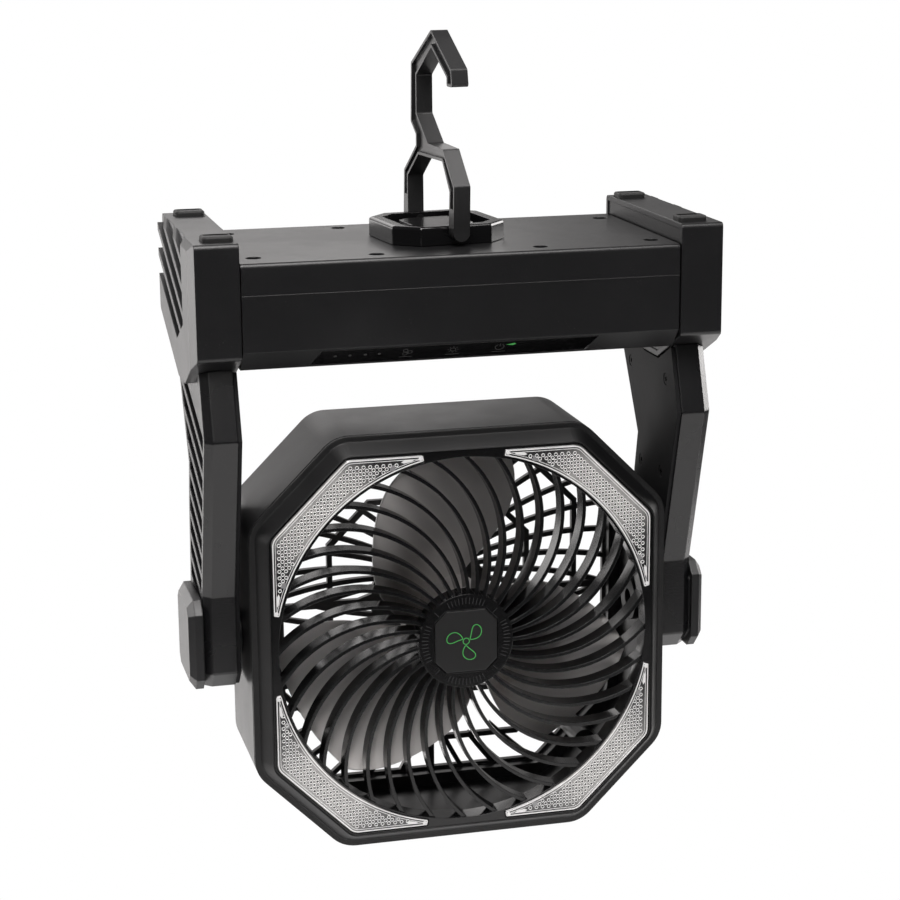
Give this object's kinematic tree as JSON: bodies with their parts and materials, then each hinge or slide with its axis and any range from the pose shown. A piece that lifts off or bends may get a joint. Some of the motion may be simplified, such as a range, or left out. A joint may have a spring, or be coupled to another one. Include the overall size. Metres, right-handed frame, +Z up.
{
  "type": "portable camping fan",
  "caption": "Hanging camping fan with an octagonal tilting head behind a spiral grille, corner light lenses, battery base and folding swivel hook.",
  "frame": {"origin": "seat of the hook, under its peak, where the line that carries the fan lies", "axes": "+Z up, -Y the front where the air comes out, +X to the right as seen from the front"},
  "size_m": [0.2552, 0.1128, 0.3826],
  "materials": {
    "black_shell": "satin",
    "black_gloss": "gloss",
    "clear_lens": "clear, prismatic",
    "grey_blade": "satin",
    "feet_rubber": "matt",
    "screw_steel": "brushed",
    "black_screw": "satin",
    "motor_can": "satin",
    "board_green": "satin",
    "cell_wrap": "satin"
  },
  "bodies": {
    "base": {"base_cover": "black_shell", "base_housing": "black_shell", "base_screws": "black_screw", "battery_cells": "cell_wrap", "battery_tray": "black_shell", "board_screws": "screw_steel", "cap_screws": "screw_steel", "charge_socket": "screw_steel", "control_board": "board_green", "control_panel": "black_gloss", "left_arm": "black_shell", "left_arm_cover": "black_shell", "left_arm_screws": "black_screw", "left_end_cap": "black_shell", "left_pivot_cap": "black_shell", "left_pivot_washer": "black_shell", "main_board": "board_green", "right_arm": "black_shell", "right_arm_cover": "black_shell", "right_arm_screws": "black_screw", "right_end_cap": "black_shell", "right_pivot_cap": "black_shell", "right_pivot_washer": "black_shell", "rubber_feet": "feet_rubber", "socket_board": "board_green"},
    "swivel": {"swivel_plate": "black_shell", "swivel_washer": "screw_steel", "swivel_screw": "screw_steel", "hook_pins": "black_screw"},
    "hook": {"hook": "black_shell"},
    "head": {"head_housing": "black_shell", "front_bezel": "black_shell", "front_grille": "black_shell", "hub_badge": "black_shell", "light_board": "board_green", "rear_cover": "black_shell", "head_screws": "black_screw", "motor": "motor_can", "motor_screws": "black_screw", "left_upper_lens": "clear_lens", "right_upper_lens": "clear_lens", "left_lower_lens": "clear_lens", "right_lower_lens": "clear_lens", "left_pivot_shaft": "black_shell", "right_pivot_shaft": "black_shell", "left_pivot_nut": "screw_steel", "right_pivot_nut": "screw_steel"},
    "fan": {"impeller": "grey_blade", "impeller_nut": "screw_steel", "motor_shaft": "screw_steel"}
  },
  "joints": [
    {"name": "swivel_turn", "type": "hinge", "parent": "base", "child": "swivel", "pos_m": [-0.00069, 0.00656, -0.0893], "axis": [0, 0, 1], "continuous": true},
    {"name": "hook_fold", "type": "hinge", "parent": "swivel", "child": "hook", "pos_m": [-0.00069, 0.00656, -0.083], "axis": [-0.1045, 0.9945, 0], "range_deg": [-90, 90]},
    {"name": "head_tilt", "type": "hinge", "parent": "base", "child": "head", "pos_m": [-0.00069, -0.00044, -0.274], "axis": [1, 0, 0], "range_deg": [-90, 180]},
    {"name": "fan_spin", "type": "hinge", "parent": "head", "child": "fan", "pos_m": [-0.00069, -0.00044, -0.274], "axis": [0, -1, 0], "continuous": true}
  ]
}
